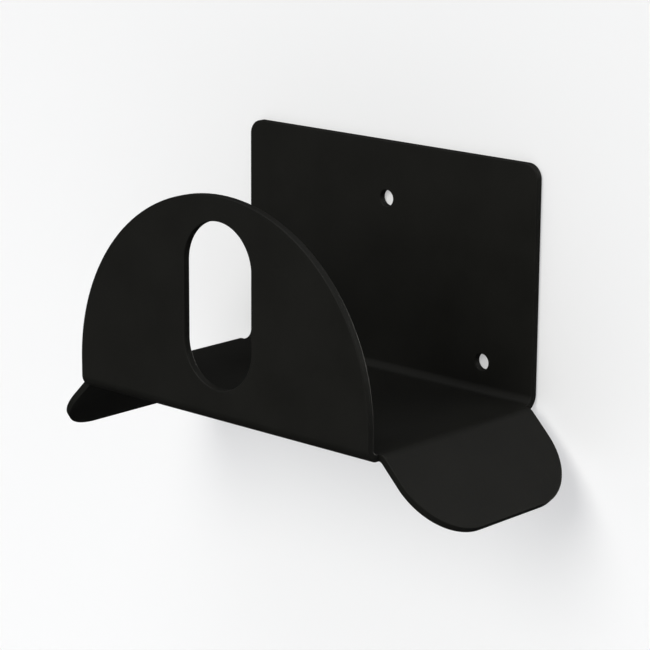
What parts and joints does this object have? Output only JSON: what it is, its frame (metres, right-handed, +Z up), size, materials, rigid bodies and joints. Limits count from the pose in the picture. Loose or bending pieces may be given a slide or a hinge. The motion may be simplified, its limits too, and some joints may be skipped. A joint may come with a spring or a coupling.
{
  "type": "wall cable holder",
  "caption": "Wall-mounted cable holder folded from one steel sheet: flat rear plate, shelf with two sloping wings, and a round-topped front plate with an obround window.",
  "frame": {"origin": "on the wall plane, in the plane of symmetry, level with the centres of the two lower screw holes", "axes": "+Z up, +Y into the wall, +X to the right for someone who faces the wall"},
  "size_m": [0.209, 0.0982, 0.1218],
  "materials": {
    "powder_coat": "fine-textured matte black powder coat on steel"
  },
  "bodies": {
    "root": {"rear_plate": "powder_coat", "shelf": "powder_coat", "front_plate": "powder_coat", "right_wing": "powder_coat", "left_wing": "powder_coat"}
  },
  "joints": []
}
